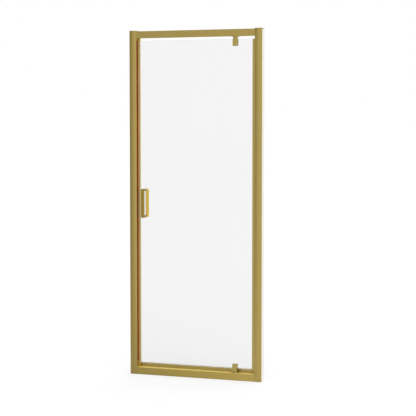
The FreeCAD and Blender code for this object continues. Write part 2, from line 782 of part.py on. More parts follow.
def clamp_plate(clamp, face):
    """One half of a clamp. face is -1 for the front plate and 1 for the back plate."""
    piece = body("{}_clamp_{}".format(clamp.name, "front" if face < 0 else "back"))
    seat = plate_front if face < 0 else plate_back
    outside = seat + plate_thick * face
    x0 = pivot_x - clamp_width / 2
    x1 = pivot_x + clamp_width / 2
    z0, z1 = clamp.span(clamp.end, clamp.inward(clamp_height))
    pad(piece, "XZ_Plane", *ordered(seat, outside), outline, box_corners(x0, x1, z0, z1))
    round_edges(piece, clamp_round, lambda a, b: a.y == b.y and abs(a.y - outside.value) < 0.01)
    lip_end = clamp.glass_edge + fit_gap * clamp.up
    lip_z = clamp.span(clamp.end, lip_end)
    middle = glass_y + fit_gap / 4 * face
    pad(piece, "XZ_Plane", *ordered(seat, middle), outline, box_corners(x0, x1, *lip_z))
    half = core_width / 2 + screw_gap
    pocket_z = clamp.span(clamp.end, clamp.inward(core_length + screw_gap))
    pocket_y = glass_y + (core_depth / 2 + screw_gap) * face
    pocket = box_corners(pivot_x - half, pivot_x + half, *pocket_z)
    cut(piece, "XZ_Plane", *ordered(middle, pocket_y), outline, pocket)
    centres = [(pivot_x, z) for z in clamp.screw_heights()]
    if face < 0:
        blind = outside + clamp_screw_skin
        cut(piece, "XZ_Plane", *ordered(blind, pocket_y), circles, centres, small_screw + screw_gap)
    else:
        hole = small_screw + hole_gap
        cut(piece, "XZ_Plane", *ordered(pocket_y, outside), circles, centres, hole)
        sink = outside - small_head_height
        cut(piece, "XZ_Plane", *ordered(sink, outside), circles, centres, small_head + screw_gap)


def ordered(a, b):
    return (a, b) if a.value < b.value else (b, a)


def clamp_gaskets(clamp):
    """A soft pad on each side of the glass, notched round the core."""
    x = (pivot_x - clamp_width / 2 + gasket_margin, pivot_x + clamp_width / 2 - gasket_margin)
    z = clamp.span(clamp.glass_edge, clamp.inward(clamp_height - gasket_margin))
    notch_x = (pivot_x - core_width / 2 - notch_gap, pivot_x + core_width / 2 + notch_gap)
    notch_z = clamp.span(clamp.glass_edge + clamp.up, clamp.inward(core_length + notch_gap))
    pads = []
    for name, y in (("front", (plate_front, glass_front)), ("back", (glass_back, plate_back))):
        label = "{}_gasket_{}".format(clamp.name, name)
        sheet_piece = plain_box(label + "_sheet", x, y, z)
        notch = plain_box(label + "_notch", notch_x, y, notch_z)
        pads.append(without(label, sheet_piece, notch))
    group(clamp.name + "_clamp_gaskets", pads)


def pivot_core(clamp):
    """The brass block in the glass notch that carries the bush and takes the clamp screws."""
    piece = body(clamp.name + "_pivot_core")
    half = core_width / 2
    depth = (glass_y - core_depth / 2, glass_y + core_depth / 2)
    section = box_corners(pivot_x - half, pivot_x + half, *depth)
    low, high = clamp.span(clamp.end, clamp.inward(core_length))
    pad(piece, "XY_Plane", low, high, outline, section)
    bore_low, bore_high = clamp.span(clamp.end, clamp.inward(bush_length))
    bore = pin_radius + pin_play + bush_wall + screw_gap
    cut(piece, "XY_Plane", bore_low, bore_high, circles, [(pivot_x, glass_y)], bore)
    centres = [(pivot_x, z) for z in clamp.screw_heights()]
    cut(piece, "XZ_Plane", *depth, circles, centres, small_screw + hole_gap)


def pivot_bush(clamp):
    """The nylon bush that turns on the pin."""
    piece = body(clamp.name + "_pivot_bush")
    bore = pin_radius + pin_play
    low, high = clamp.span(clamp.end, clamp.inward(bush_length))
    revolve(piece, [(bore, low), (bore + bush_wall, low), (bore + bush_wall, high), (bore, high)])
    place(piece, pivot_x, glass_y)


def clamp_screws(clamp):
    """Two countersunk screws from the back plate through the core into the front plate."""
    head_y = plate_back + plate_thick
    reach = plate_thick * 2 + gasket_thick * 2 + glass_thick - clamp_screw_skin - fit_gap
    screws = []
    for z in clamp.screw_heights():
        name = "{}_clamp_screw_{}".format(clamp.name, len(screws) + 1)
        screws.append(screw(name, reach, TO_PLUS_Y, pivot_x, head_y, z, sunk=True))
    group(clamp.name + "_clamp_screws", screws)


# ---------------------------------------------------------------- glass and seals


def glass_panel(clamps):
    """The pane, notched for the two cores and drilled for the handles."""
    piece = body("glass_panel")
    pane = box_corners(glass_left, glass_right, glass_bottom, glass_top)
    pad(piece, "XZ_Plane", glass_front, glass_back, outline, pane)
    half = core_width / 2 + notch_gap
    for clamp in clamps:
        z = clamp.span(clamp.glass_edge, clamp.inward(core_length + notch_gap))
        notch = box_corners(pivot_x - half, pivot_x + half, *z)
        cut(piece, "XZ_Plane", glass_front, glass_back, outline, notch)
    centres = [(handle_x, z) for z in handle_leg_heights()]
    cut(piece, "XZ_Plane", glass_front, glass_back, circles, centres, sleeve_radius + fit_gap)
    upright = along("z", x=(glass_left, glass_right), y=(glass_front, glass_back))
    level = along("x", z=(glass_bottom, glass_top), y=(glass_front, glass_back))
    round_edges(piece, glass_arris, lambda a, b: upright(a, b) or level(a, b), "Chamfer")


def door_magnetic_seal():
    """The magnetic seal on the closing edge, which meets the strike's strip."""
    piece = body("door_magnetic_seal")
    lip_front = glass_front - seal_lip
    lip_back = glass_back + seal_lip
    magnet = strip_front - fit_gap
    back_end = glass_left + seal_back_leg
    front_end = glass_left + seal_front_leg
    section = [(seal_outer, lip_front), (front_end, lip_front), (front_end, glass_front)]
    section += [(glass_left, glass_front), (glass_left, glass_back), (back_end, glass_back)]
    section += [(back_end, magnet), (seal_outer, magnet)]
    foot = glass_bottom - seal_drop
    pad(piece, "XY_Plane", foot, glass_top, outline, section)
    hollow = box_corners(seal_outer + seal_lip, back_end - seal_lip, lip_back, magnet - seal_lip)
    cut(piece, "XY_Plane", foot, glass_top, outline, hollow)


def trailing_edge_channel():
    """The gold channel on the glass edge beside the pivots."""
    piece = body("trailing_edge_channel")
    grip = glass_right - channel_grip
    y0 = glass_front - channel_wall
    y1 = glass_back + channel_wall
    section = [(channel_outer, y0), (channel_outer, y1), (grip, y1), (grip, glass_back)]
    section += [(glass_right, glass_back), (glass_right, glass_front), (grip, glass_front), (grip, y0)]
    pad(piece, "XY_Plane", glass_bottom, glass_top, outline, section)
    round_edges(piece, channel_wall * 0.5, along("z", x=(channel_outer,), y=(y0, y1)))


def drip_seal():
    """Clear seals along the bottom edge, on both sides of the pivot clamp."""
    low = glass_bottom - drip_drop
    high = low + drip_height
    y0 = glass_front - drip_wall
    y1 = glass_back + drip_wall
    floor = glass_bottom - drip_wall
    hollow_y = (glass_front, glass_back)
    clamp_half = clamp_width / 2 + fit_gap
    runs = [
        (glass_left + seal_back_leg + fit_gap, pivot_x - clamp_half),
        (pivot_x + clamp_half, glass_right - channel_grip - fit_gap),
    ]
    seals = []
    for number, (x0, x1) in enumerate(runs):
        label = "drip_seal_{}".format(number + 1)
        block = plain_box(label + "_block", (x0, x1), (y0, y1), (low, high))
        seat = plain_box(label + "_seat", (x0, x1), hollow_y, (glass_bottom, high))
        tube_z = (low + drip_wall, floor)
        tube = plain_box(label + "_tube", (x0, x1), hollow_y, tube_z)
        hollow = doc.addObject("Part::MultiFuse", label + "_hollow")
        hollow.Shapes = [seat, tube]
        seals.append(without(label, block, hollow))
    group("drip_seal", seals)


# ---------------------------------------------------------------- handles


def handle_leg_heights():
    return [handle_centre - leg_offset, handle_centre + leg_offset]


def handle(name, face):
    """A bent bar handle. face is -1 for the outer handle and 1 for the inner one."""
    piece = body(name)
    seat = (glass_front if face < 0 else glass_back) + handle_pad * face
    grip = (glass_front if face < 0 else glass_back) + handle_reach * face
    inside = grip - handle_bar * face
    low = handle_centre - handle_height / 2
    high = handle_centre + handle_height / 2
    section = [(seat, low), (grip, low), (grip, high), (seat, high)]
    section += [(seat, high - handle_bar), (inside, high - handle_bar)]
    section += [(inside, low + handle_bar), (seat, low + handle_bar)]
    x0 = handle_x - handle_width / 2
    x1 = handle_x + handle_width / 2
    pad(piece, "YZ_Plane", x0, x1, outline, section)
    round_edges(piece, handle_bend, along("x", y=(grip,), z=(low, high)))
    inner_z = (low + handle_bar, high - handle_bar)
    round_edges(piece, handle_inner_bend, along("x", y=(inside,), z=inner_z))
    side_x = (x0.value, x1.value)

    def side_edge(a, b):
        flat = abs(a.x - b.x) < 0.01 and min(abs(a.x - x) for x in side_x) < 0.01
        on_glass = abs(a.y - seat.value) < 0.01 and abs(b.y - seat.value) < 0.01
        return flat and not on_glass

    round_edges(piece, handle_edge, side_edge)
    centres = [(handle_x, z) for z in handle_leg_heights()]
    bore_end = seat + (stud_reach - handle_pad + fit_gap) * face
    cut(piece, "XZ_Plane", *ordered(seat, bore_end), circles, centres, stud_radius + screw_gap)
    if face > 0:
        for z in handle_leg_heights():
            low_z = z - handle_bar / 2
            cut(piece, "XY_Plane", low_z, z, circles, [(handle_x, grub_y())], grub_radius + screw_gap)


def grub_y():
    """Y of the grub screws, half way along the stud in the inner handle."""
    return glass_back + stud_reach / 2


def handle_fixings():
    """What joins the two handles through the glass."""
    pads = []
    studs = []
    sleeves = []
    grubs = []
    half_x = handle_width / 2 - handle_pad_margin
    half_z = handle_bar / 2 - handle_pad_margin
    for z in handle_leg_heights():
        number = len(studs) + 1
        pad_x = (handle_x - half_x, handle_x + half_x)
        pad_z = (z - half_z, z + half_z)
        faces = ((glass_front - handle_pad, glass_front), (glass_back, glass_back + handle_pad))
        for name, y in zip(("front", "back"), faces):
            label = "handle_pad_{}_{}".format(name, number)
            block = plain_box(label + "_block", pad_x, y, pad_z)
            hole = rod(label + "_hole", stud_radius + screw_gap, y[0], y[1], z)
            pads.append(without(label, block, hole))
        sleeve = rod("sleeve_outside_{}".format(number), sleeve_radius, glass_front, glass_back, z)
        bore = rod("sleeve_bore_{}".format(number), stud_radius + screw_gap, glass_front, glass_back, z)
        sleeves.append(without("sleeve_{}".format(number), sleeve, bore))
        ends = (glass_front - stud_reach, glass_back + stud_reach)
        studs.append(rod("stud_{}".format(number), stud_radius, *ends, z))
        grubs.append(grub_screw("grub_{}".format(number), z - handle_bar / 2 + fit_gap))
    group("handle_pads", pads)
    group("handle_sleeves", sleeves)
    group("handle_studs", studs)
    group("handle_grub_screws", grubs)


def grub_screw(name, z):
    """A headless screw with its hexagonal socket downwards."""
    thread = doc.addObject("Part::Cylinder", name + "_thread")
    bind(thread, Radius=grub_radius, Height=handle_bar / 2 - stud_radius - fit_gap * 2)
    socket = doc.addObject("Part::Prism", name + "_socket")
    socket.Polygon = 6
    bind(socket, Circumradius=grub_radius * 0.6, Height=grub_radius * 0.7)
    result = without(name, thread, socket)
    place(result, handle_x, grub_y(), z)
    return result


def rod(name, radius, y0, y1, z):
    """A round bar along Y at the handle's centre line."""
    bar = doc.addObject("Part::Cylinder", name)
    bind(bar, Radius=radius, Height=y1 - y0)
    place(bar, handle_x, y0, z, TO_PLUS_Y)
    return bar


# ---------------------------------------------------------------- the assembly


def build():
    for side, name in ((-1, "left"), (1, "right")):
        wall_channel(side, name)
        jamb(side, name)
        jamb_cap(side, name)
    top_rail()
    threshold_rail()
    water_bar()
    strike_profile()
    strike_magnetic_strip()
    corner_screws()
    jamb_screws()
    fixed_pivots()
    clamps = [
        ClampEnd("top", 1, top_clamp_end(), glass_top),
        ClampEnd("bottom", -1, bottom_clamp_end(), glass_bottom),
    ]
    for clamp in clamps:
        clamp_plate(clamp, -1)
        clamp_plate(clamp, 1)
        clamp_gaskets(clamp)
        pivot_core(clamp)
        pivot_bush(clamp)
        clamp_screws(clamp)
    glass_panel(clamps)
    door_magnetic_seal()
    trailing_edge_channel()
    drip_seal()
    handle("handle_outer", -1)
    handle("handle_inner", 1)
    handle_fixings()
    doc.recompute()


def write():
    """Checks every object and every sub-part, then writes the sub-parts."""
    for thing in doc.Objects:
        if "Invalid" in thing.State or "Error" in thing.State:
            raise ValueError("{} failed: {}".format(thing.Label, thing.State))
    for piece in sub_parts:
        if piece.Shape.isNull() or not piece.Shape.isValid():
            raise ValueError(piece.Label + " has no valid shape")
    os.makedirs("parts", exist_ok=True)
    for piece in sub_parts:
        piece.Shape.exportStep("parts/{}.step".format(piece.Label))
    print("{} sub-parts written".format(len(sub_parts)))


build()
write()
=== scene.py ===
"""Finishes, soft seals and studio for the inset pivot shower door.

Lengths are in metres. X runs along the door's width towards its pivots, -Y is the outside of the
shower and +Z is up.
"""

import math

import bpy
from bpy.props import FloatProperty, FloatVectorProperty, PointerProperty
from bpy.types import Operator, Panel, PropertyGroup
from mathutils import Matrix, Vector


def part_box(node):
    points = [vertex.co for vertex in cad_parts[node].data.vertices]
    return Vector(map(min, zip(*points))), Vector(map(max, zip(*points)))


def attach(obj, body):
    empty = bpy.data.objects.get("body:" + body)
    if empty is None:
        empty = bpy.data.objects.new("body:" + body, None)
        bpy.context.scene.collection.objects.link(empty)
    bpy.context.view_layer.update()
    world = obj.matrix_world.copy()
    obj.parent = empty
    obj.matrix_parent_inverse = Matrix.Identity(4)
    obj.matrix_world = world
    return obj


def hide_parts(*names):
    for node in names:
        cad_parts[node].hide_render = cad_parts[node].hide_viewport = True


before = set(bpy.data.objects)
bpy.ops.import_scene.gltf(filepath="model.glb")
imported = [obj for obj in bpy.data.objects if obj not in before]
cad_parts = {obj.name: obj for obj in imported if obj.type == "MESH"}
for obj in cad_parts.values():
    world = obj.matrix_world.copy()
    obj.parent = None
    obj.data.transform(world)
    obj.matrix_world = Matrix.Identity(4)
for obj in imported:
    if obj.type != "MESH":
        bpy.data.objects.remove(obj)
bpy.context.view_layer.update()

bl_info = {
    "name": "Pivot Shower Door",
    "version": (1, 0, 0),
    "blender": (4, 5, 0),
    "location": "View3D > Sidebar > Shower Door",
    "description": "Finishes, seals and studio of an inset pivot shower door",
    "category": "Object",
}

MM = 0.001
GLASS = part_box("glass_panel")
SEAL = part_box("door_magnetic_seal")
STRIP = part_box("strike_magnetic_strip")
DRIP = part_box("drip_seal")
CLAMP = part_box("bottom_clamp_front")

# Seals
AIR = 0.1 * MM  # kept between a seal and the glass or the profile behind it
LIP_REACH = 1.4 * MM  # of the closing seal's lip over the front of the glass
LIP_CORNER = 1.6  # of the lip's chamfered corner, in half walls
SEAL_CORE_INSET = 1.15  # of the closing seal's magnet in its sleeve, in walls
STRIP_CORE_INSET = 1.1  # of the strike strip's magnet in its sleeve, in walls
CORE_SETBACK = 2 * MM  # of a magnet's ends from those of its sleeve
END_GAP = 0.3 * MM  # between a drip seal and the clamp
BULB_SHOULDER = 0.35  # where a drip seal's bulb turns in, as a share of a third of its width
SEAT_RISE = 0.8  # of a drip seal's seat over the glass edge's level, in half walls
SMOOTH_ANGLE = math.radians(35)

# Painted highlight on the ledge: full above the first depth under the ledge's top, none below the
# second
HIGHLIGHT_FULL = 0.3 * MM
HIGHLIGHT_NONE = 0.9 * MM
HIGHLIGHT_METALLIC = 0.1  # also the coat's weight under the painted highlight

# Light: the level grows along this vector. The floor's mirrored level is read along the lines
# from one start for the part in front of the door and from another for the part behind it.
SOFT_AIM = (1.4, 0.10, 0.0)
FRONT_START = (1.0, 2.5, 0.0)
BACK_START = (-0.35, -2.5, 0.0)
START_BLEND = 0.05
FLOOR_SIDE = 400.0
WHITE = (1.0, 1.0, 1.0, 1.0)

# Camera, fitted to the corners of the frame in the photograph
PHOTO_SIDE_PX = 416.0
FOCAL_PX = 1293.0
SHIFT_PX = -10.0
SENSOR_MM = 36.0
CAMERA_FAR = 500.0
CAMERA_PLACE = (2.457, -6.9895, 1.477)
CAMERA_PITCH = math.radians(90.0) - 0.0591
CAMERA_TURN = math.radians(18.83)


# ---------------------------------------------------------------- settings


def colour(name, description, value):
    return FloatVectorProperty(
        name=name, description=description, default=value, size=3, min=0, max=1, subtype="COLOR"
    )


def length(name, description, value):
    return FloatProperty(name=name, description=description, default=value, unit="LENGTH")


def factor(name, description, value):
    return FloatProperty(name=name, description=description, default=value, min=0, subtype="FACTOR")


class DoorFinishes(PropertyGroup):
    anodised: colour("Anodised gold", "Uprights, top rail and edge channel", (0.374, 0.271, 0.052))
    # Painted light: the anodised gold made brighter for the threshold rail, whose front gets less
    # light from the floor below
    sill_painted_light: colour("Sill gold", "Threshold rail", (0.420, 0.304, 0.056))
    bar_gold: colour("Bar gold", "Water bar", (0.403, 0.317, 0.108))
    # Painted light: the strike profile's gold made brighter to lift the shade of the jamb and top
    # rail on it
    strike: colour("Strike gold", "Profile the closing seal rests on", (0.580, 0.425, 0.085))
    clamp: colour("Clamp gold", "Pivot clamps, collars and anchor screws", (0.403, 0.305, 0.088))
    # Painted light and shade: lit and shaded copies of one handle gold, the outer handle darker and
    # the inner one, seen through the glass, brighter
    outer_handle_painted_shade: colour("Outer handle gold", "Satin handle outside", (0.330, 0.232, 0.050))
    inner_handle_painted_light: colour("Inner handle gold", "Brighter handle inside", (0.800, 0.585, 0.130))
    moulded: colour("Moulded gold", "Caps of the uprights and screws", (0.374, 0.288, 0.094))
    # Partly painted highlight: pale aluminium for the wall channels, whose pale side face also
    # stands in for the bright reflection along the right upright's side
    channel: colour("Pale anodised", "Channels on the walls", (0.830, 0.815, 0.755))
    # Painted highlight: a bright colour laid on the top of the threshold's ledge in place of the
    # light it catches from above
    film: colour("Ledge painted highlight", "Painted highlight on the threshold's ledge", (1.000, 0.780, 0.225))
    steel: colour("Steel", "Pins, studs and screws", (0.560, 0.565, 0.575))
    brass: colour("Brass", "Pivot cores", (0.720, 0.520, 0.220))
    mill: colour("Mill aluminium", "Blocks in the rails that hold the pins", (0.700, 0.710, 0.720))
    nylon: colour("Nylon", "Bushes on the pins", (0.820, 0.810, 0.760))
    washer: colour("Tan nylon", "Washer that carries the door", (0.420, 0.300, 0.140))
    glass: colour("Glass", "Tint of the pane", (0.905, 0.903, 0.902))
    vinyl: colour("Clear vinyl", "Drip seals and handle sleeves", (0.965, 0.970, 0.967))
    # Painted shade: the lip's dark red-brown stands in for the shade and gold inter-reflection in
    # the narrow recess beside the left jamb
    seal: colour("Seal", "Lip of the closing seal", (0.560, 0.055, 0.003))
    # Painted light: the foot's amber stands in for the light from the ledge shining up into the
    # bottom of the closing seal
    painted_light_amber: colour("Amber", "Foot of the closing seal", (0.800, 0.380, 0.030))
    # Painted light: the sleeve's bright gold lifts it out of the shade of the slot behind the
    # glass, in place of a gold reflection
    sleeve: colour("Sleeve", "Magnet sleeve of the closing seal", (0.620, 0.410, 0.075))
    gasket: colour("Gasket", "Pads in the clamps and under the handles", (0.800, 0.790, 0.740))
    ferrite: colour("Magnet rubber", "Magnets in the seals", (0.160, 0.100, 0.060))


class DoorSeals(PropertyGroup):
    wall: length("Wall", "Thickness of the vinyl", 0.8 * MM)
    # The foot is the span at the closing seal's bottom that carries the painted light
    foot: length("Foot", "Height of the closing seal's amber foot", 25 * MM)
    corner: length("Corner", "Rounding of the vinyl's corners", 0.3 * MM)


class DoorStudio(PropertyGroup):
    ambient: factor("Ambient", "Level of the light all round, before its slope", 1.54)
    dimmest: factor("Dimmest", "Lowest level of the light all round", 0.50)
    brightest: factor("Brightest", "Highest level of the light all round", 1.12)
    key: factor("Key lamp", "Strength of the soft lamp in front", 0.4)
    rim: factor("Rim lamp", "Strength of the soft lamp at the right", 0.25)
    floor: colour("Floor", "Colour of the floor", (0.42, 0.42, 0.42))
    bare_floor: factor("Bare floor", "Brightness of the floor under the lights alone", 0.474)
    dim_floor: factor("Dim floor", "The same in the door's faint outer shade", 0.44)


# ---------------------------------------------------------------- shader nodes


def add_node(tree, kind, x=0, y=0, **settings):
    """A node at x, y with its properties set."""
    made = tree.nodes.new(kind)
    made.location = (x, y)
    for name, value in settings.items():
        setattr(made, name, value)
    return made


def add_group(tree, name, x, y):
    """A node that uses one of the shared groups."""
    return add_node(tree, "ShaderNodeGroup", x, y, node_tree=bpy.data.node_groups[name])


def add_colour(tree, rgb, x, y):
    """The output of a node that holds a colour."""
    made = add_node(tree, "ShaderNodeRGB", x, y)
    made.outputs[0].default_value = rgb
    return made.outputs[0]


def set_inputs(made, **values):
    """Sets a node's inputs by name, with _ for a space."""
    for name, value in values.items():
        made.inputs[name.replace("_", " ")].default_value = value


def new_group(name, inputs, outputs):
    """A node group with named sockets, and its two end nodes."""
    tree = bpy.data.node_groups.new(name, "ShaderNodeTree")
    for socket, kind, value in inputs:
        made = tree.interface.new_socket(socket, in_out="INPUT", socket_type="NodeSocket" + kind)
        if value is not None:
            made.default_value = value
    for socket, kind in outputs:
        tree.interface.new_socket(socket, in_out="OUTPUT", socket_type="NodeSocket" + kind)
    start = add_node(tree, "NodeGroupInput", -900)
    end = add_node(tree, "NodeGroupOutput", 900)
    return tree, start, end


def stretched_noise(tree, vector, stretch, detail, x, y):
    """Noise on coordinates stretched by the vector from another node."""
    product = add_node(tree, "ShaderNodeVectorMath", x, y, operation="MULTIPLY")
    tree.links.new(vector, product.inputs[0])
    tree.links.new(stretch, product.inputs[1])
    noise = add_node(tree, "ShaderNodeTexNoise", x + 180, y)
    set_inputs(noise, Scale=1.0, Detail=detail, Roughness=0.55)
    tree.links.new(product.outputs[0], noise.inputs["Vector"])
    return noise.outputs["Fac"]


def spread(tree, value, low, high, x, y, start=0.3, end=0.7):
    """A value from start to end turned into one from low to high: sockets or numbers."""
    made = add_node(tree, "ShaderNodeMapRange", x, y)
    made.inputs["From Min"].default_value = start
    made.inputs["From Max"].default_value = end
    tree.links.new(value, made.inputs["Value"])
    for socket, limit in (("To Min", low), ("To Max", high)):
        if isinstance(limit, (int, float)):
            made.inputs[socket].default_value = limit
        else:
            tree.links.new(limit, made.inputs[socket])
    return made.outputs["Result"]


def blend_colours(tree, share, first, second, x, y):
    """The first colour at a share of 0, the second at 1."""
    made = add_node(tree, "ShaderNodeMix", x, y, data_type="RGBA")
    tree.links.new(share, made.inputs["Factor"])
    tree.links.new(first, made.inputs[6])
    tree.links.new(second, made.inputs[7])
    return made.outputs[2]


def metal_group():
    """Drawn or rubbed metal: fine lines, a slow change of tone and light handling marks."""
    inputs = [
        ("Vector", "Vector", None),
        ("Line Stretch", "Vector", (1800.0, 1800.0, 5.0)),
        ("Colour", "Color", None),
        ("Shaded Colour", "Color", None),
        ("Smooth", "Float", 0.2),
        ("Rough", "Float", 0.35),
        ("Line Height", "Float", 0.01),
    ]
    outputs = [("Colour", "Color"), ("Roughness", "Float"), ("Normal", "Vector")]
    tree, start, end = new_group("Metal Surface", inputs, outputs)
    get = start.outputs
    lines = stretched_noise(tree, get["Vector"], get["Line Stretch"], 3.0, -700, 300)
    slow = add_node(tree, "ShaderNodeTexNoise", -520, 60)
    set_inputs(slow, Scale=4.0, Detail=2.0)
    tree.links.new(get["Vector"], slow.inputs["Vector"])
    marks = add_node(tree, "ShaderNodeTexNoise", -520, -180)
    set_inputs(marks, Scale=38.0, Detail=5.0, Roughness=0.65, Distortion=0.8)
    tree.links.new(get["Vector"], marks.inputs["Vector"])
    tone = add_node(tree, "ShaderNodeMath", -260, 200, operation="ADD")
    tree.links.new(spread(tree, lines, 0.0, 0.55, -420, 320), tone.inputs[0])
    tree.links.new(spread(tree, slow.outputs["Fac"], 0.0, 0.45, -420, 80), tone.inputs[1])
    tree.links.new(
        blend_colours(tree, tone.outputs[0], get["Colour"], get["Shaded Colour"], 0, 260),
        end.inputs["Colour"],
    )
    wear = add_node(tree, "ShaderNodeMath", -60, -60, operation="ADD")
    handled = spread(tree, marks.outputs["Fac"], 0.0, 0.6, -300, -180, 0.5, 0.75)
    tree.links.new(handled, wear.inputs[0])
    tree.links.new(spread(tree, lines, 0.0, 0.4, -300, -20), wear.inputs[1])
    tree.links.new(
        spread(tree, wear.outputs[0], get["Smooth"], get["Rough"], 200, -60, 0.0, 1.0),
        end.inputs["Roughness"],
    )
    bump = add_node(tree, "ShaderNodeBump", 420, -300)
    bump.inputs["Distance"].default_value = 0.0002
    tree.links.new(get["Line Height"], bump.inputs["Strength"])
    tree.links.new(lines, bump.inputs["Height"])
    tree.links.new(bump.outputs["Normal"], end.inputs["Normal"])
    return tree


def film_group():
    """The thin film on glass and vinyl: the rims of dried drops over slow wipe marks."""
    inputs = [("Vector", "Vector", None), ("Amount", "Float", 0.5)]
    tree, start, end = new_group("Water Film", inputs, [("Mask", "Float")])
    wipes = add_node(tree, "ShaderNodeTexNoise", -500, 200)
    set_inputs(wipes, Scale=3.5, Detail=4.0, Roughness=0.6, Distortion=1.4)
    tree.links.new(start.outputs["Vector"], wipes.inputs["Vector"])
    drops = add_node(tree, "ShaderNodeTexVoronoi", -500, -100, feature="DISTANCE_TO_EDGE")
    set_inputs(drops, Scale=140.0)
    tree.links.new(start.outputs["Vector"], drops.inputs["Vector"])
    rings = spread(tree, drops.outputs["Distance"], 1.0, 0.0, -300, -100, 0.0, 0.03)
    soft = spread(tree, wipes.outputs["Fac"], 0.0, 1.0, -300, 200, 0.45, 0.75)
    both = add_node(tree, "ShaderNodeMath", 0, 100, operation="MULTIPLY_ADD")
    tree.links.new(rings, both.inputs[0])
    both.inputs[1].default_value = 0.25
    tree.links.new(soft, both.inputs[2])
    scaled = add_node(tree, "ShaderNodeMath", 250, 100, operation="MULTIPLY", use_clamp=True)
    tree.links.new(both.outputs[0], scaled.inputs[0])
    tree.links.new(start.outputs["Amount"], scaled.inputs[1])
    tree.links.new(scaled.outputs[0], end.inputs["Mask"])
    return tree


def new_material(name, **settings):
    """A material with one Principled shader, and the Object coordinates to feed it."""
    made = bpy.data.materials.new(name)
    made.use_nodes = True
    tree = made.node_tree
    shader = tree.nodes["Principled BSDF"]
    set_inputs(shader, **settings)
    place = add_node(tree, "ShaderNodeTexCoord", -900, 0)
    return made, tree, shader, place.outputs["Object"]


def rgba(rgb, share=1.0):
    """An opaque colour, darkened to a share of its value."""
    return tuple(c * share for c in rgb) + (1.0,)


def metal(name, rgb, stretch, smooth, rough, height=0.01, shade=0.95, **settings):
    """Metal with its own lines, stretched along one axis."""
    made, tree, shader, place = new_material(name, Metallic=1.0, **settings)
    surface = add_group(tree, "Metal Surface", -450, 100)
    surface.inputs["Line Stretch"].default_value = stretch
    surface.inputs["Colour"].default_value = rgba(rgb)
    surface.inputs["Shaded Colour"].default_value = rgba(rgb, shade)
    surface.inputs["Smooth"].default_value = smooth
    surface.inputs["Rough"].default_value = rough
    surface.inputs["Line Height"].default_value = height
    tree.links.new(place, surface.inputs["Vector"])
    tree.links.new(surface.outputs["Colour"], shader.inputs["Base Color"])
    tree.links.new(surface.outputs["Roughness"], shader.inputs["Roughness"])
    tree.links.new(surface.outputs["Normal"], shader.inputs["Normal"])
    return made


def ledge_painted_highlight(material, rgb):
    """Paints a matt highlight on the top of the threshold's ledge: a bright colour in place of the
    metal, a little weaker in noise patches.
    """
    tree = material.node_tree
    shader = tree.nodes["Principled BSDF"]
    place = tree.nodes["Texture Coordinate"].outputs["Object"]
    parts = add_node(tree, "ShaderNodeSeparateXYZ", -700, -500)
    tree.links.new(place, parts.inputs[0])
    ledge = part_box("threshold_rail")[1].z
    heights = (ledge - HIGHLIGHT_NONE, ledge - HIGHLIGHT_FULL)
    on_top = spread(tree, parts.outputs["Z"], 0.0, 1.0, -500, -500, *heights)
    patches = add_node(tree, "ShaderNodeTexNoise", -700, -750)
    set_inputs(patches, Scale=60.0, Detail=4.0, Roughness=0.6)
    tree.links.new(place, patches.inputs["Vector"])
    highlight_share = add_node(tree, "ShaderNodeMath", -300, -500, operation="MULTIPLY")
    tree.links.new(on_top, highlight_share.inputs[0])
    tree.links.new(spread(tree, patches.outputs["Fac"], 0.85, 1.0, -500, -750), highlight_share.inputs[1])
    bare = shader.inputs["Base Color"].links[0].from_socket
    # The painted highlight's colour for the ledge's top
    film = add_colour(tree, rgba(rgb), -300, -750)
    tree.links.new(
        blend_colours(tree, highlight_share.outputs[0], bare, film, -100, -500),
        shader.inputs["Base Color"],
    )
    for socket, x in (("Metallic", -100), ("Coat Weight", 80)):
        metal_under_highlight = spread(tree, highlight_share.outputs[0], 1.0, HIGHLIGHT_METALLIC, x, -750, 0.0, 1.0)
        tree.links.new(metal_under_highlight, shader.inputs[socket])


def moulding(name, rgb, smooth, rough, grain=900.0, **settings):
    """Plastic with a fine spark-eroded grain."""
    made, tree, shader, place = new_material(name, **settings)
    noise = add_node(tree, "ShaderNodeTexNoise", -700, 0)
    set_inputs(noise, Scale=grain, Detail=2.0)
    tree.links.new(place, noise.inputs["Vector"])
    fac = noise.outputs["Fac"]
    light = add_colour(tree, rgba(rgb), -700, 300)
    dark = add_colour(tree, rgba(rgb, 0.86), -700, 500)
    tree.links.new(
        blend_colours(tree, fac, light, dark, -350, 300),
        shader.inputs["Base Color"],
    )
    tree.links.new(spread(tree, fac, smooth, rough, -350, 0), shader.inputs["Roughness"])
    bump = add_node(tree, "ShaderNodeBump", -350, -250)
    bump.inputs["Strength"].default_value = 0.08
    bump.inputs["Distance"].default_value = 0.0001
    tree.links.new(fac, bump.inputs["Height"])
    tree.links.new(bump.outputs["Normal"], shader.inputs["Normal"])
    return made


def see_through(name, rgb, low, high, amount, **settings):
    """Glass or clear vinyl under a water film, which lets the lamps' light through."""
    made, tree, shader, place = new_material(name, Transmission_Weight=1.0, **settings)
    film = add_group(tree, "Water Film", -600, 0)
    film.inputs["Amount"].default_value = amount
    tree.links.new(place, film.inputs["Vector"])
    shader.inputs["Base Color"].default_value = rgba(rgb)
    tree.links.new(
        spread(tree, film.outputs["Mask"], low, high, -300, 0, 0.0, 1.0), shader.inputs["Roughness"]
    )
    rays = add_node(tree, "ShaderNodeLightPath", 0, 400)
    clear = add_node(tree, "ShaderNodeBsdfTransparent", 0, -400)
    clear.inputs["Color"].default_value = rgba(rgb)
    mix = add_node(tree, "ShaderNodeMixShader", 500, 0)
    output = tree.nodes["Material Output"]
    output.location = (750, 0)
    tree.links.new(rays.outputs["Is Shadow Ray"], mix.inputs["Fac"])
    tree.links.new(shader.outputs[0], mix.inputs[1])
    tree.links.new(clear.outputs[0], mix.inputs[2])
    tree.links.new(mix.outputs[0], output.inputs["Surface"])
    return made


